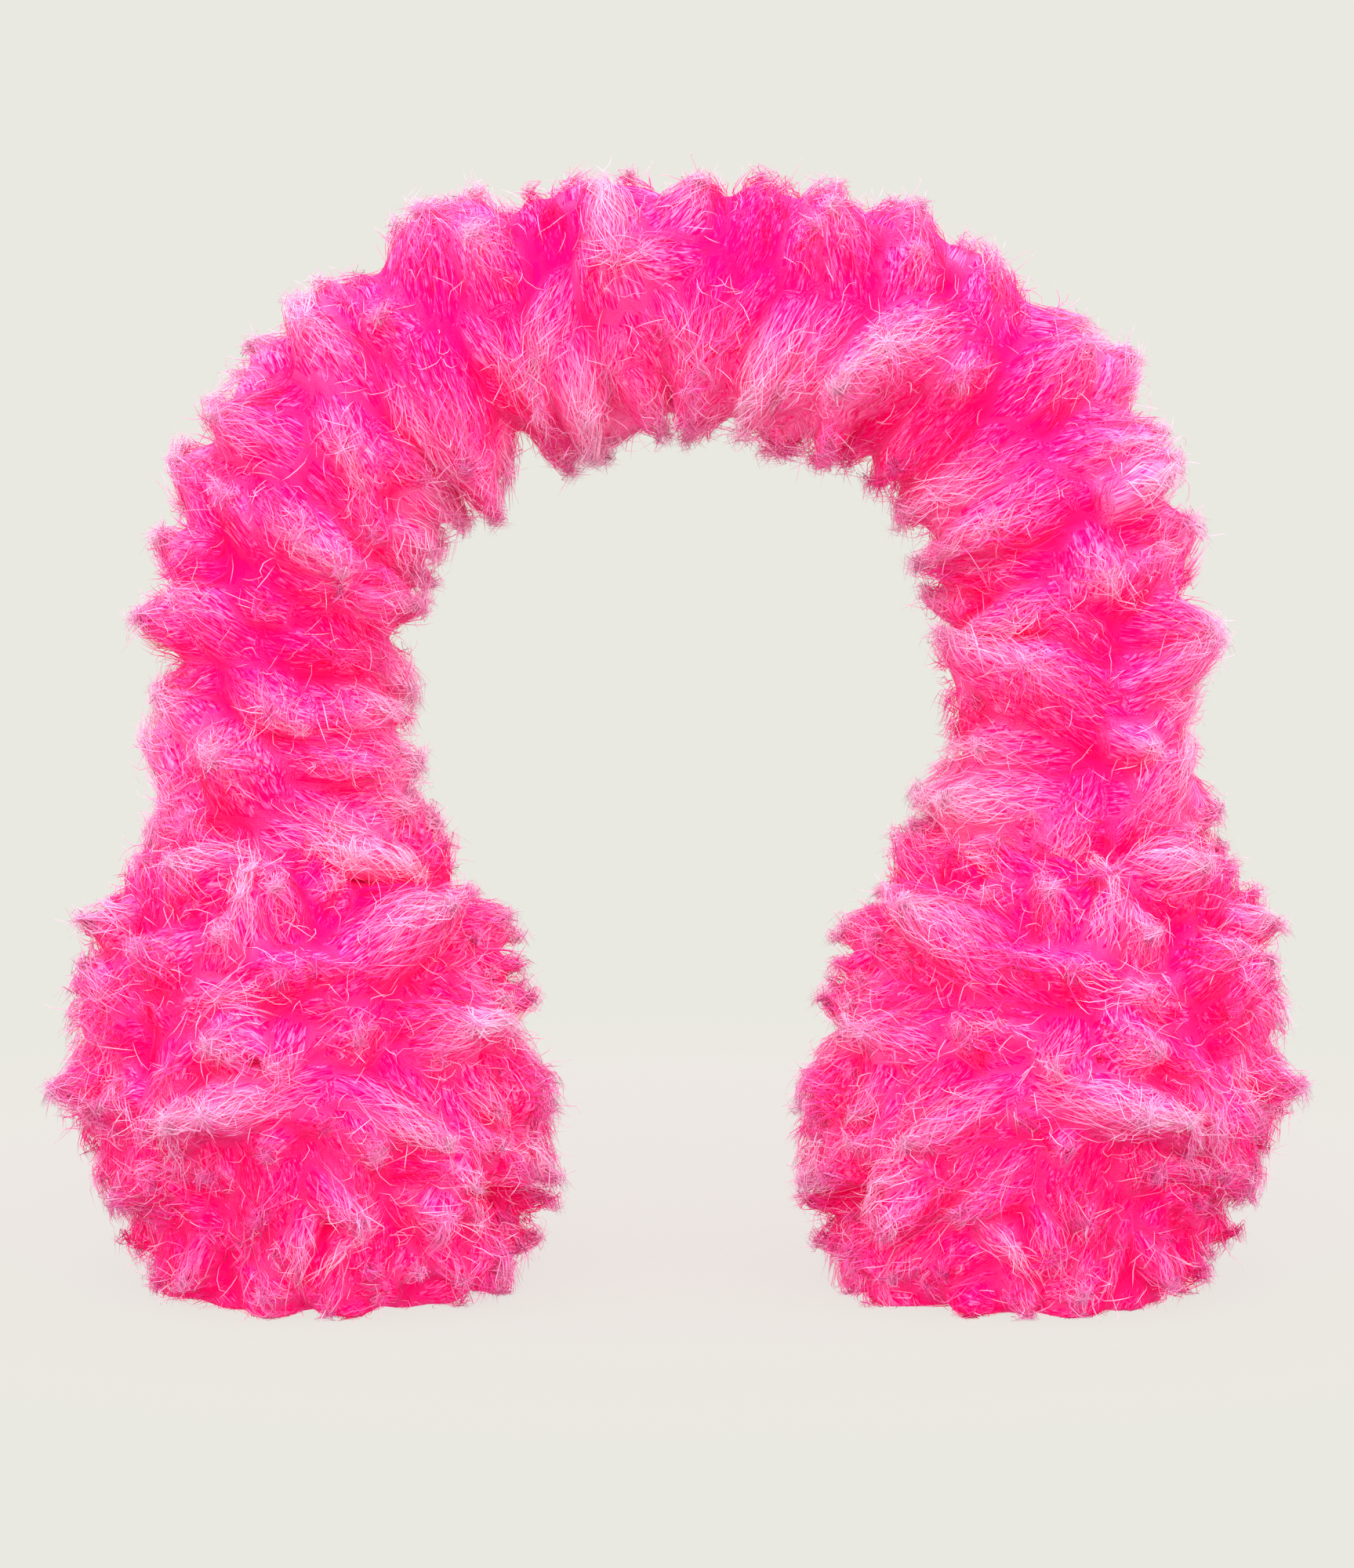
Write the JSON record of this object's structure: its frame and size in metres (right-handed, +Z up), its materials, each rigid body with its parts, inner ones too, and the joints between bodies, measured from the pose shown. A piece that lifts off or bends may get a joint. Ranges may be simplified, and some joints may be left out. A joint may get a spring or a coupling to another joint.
{
  "type": "fur earmuffs",
  "caption": "Over-the-head earmuffs: a sprung headband in a long-pile fur sleeve, with a fat round fur ear pad at the foot of each leg.",
  "frame": {"origin": "on the surface that the pads stand on, midway between the pads and midway from front to back", "axes": "+X across the head, from the left pad to the right pad; +Y from the front of the head to the back; +Z up, towards the crown"},
  "size_m": [0.268, 0.1092, 0.2459],
  "materials": {
    "pink_fur": "long fluffy pile in pointed locks, bright pink with paler tips and deeper pink at the roots"
  },
  "bodies": {
    "root": {"headband": "pink_fur", "ear_pad_left": "pink_fur", "ear_pad_right": "pink_fur"}
  },
  "joints": []
}
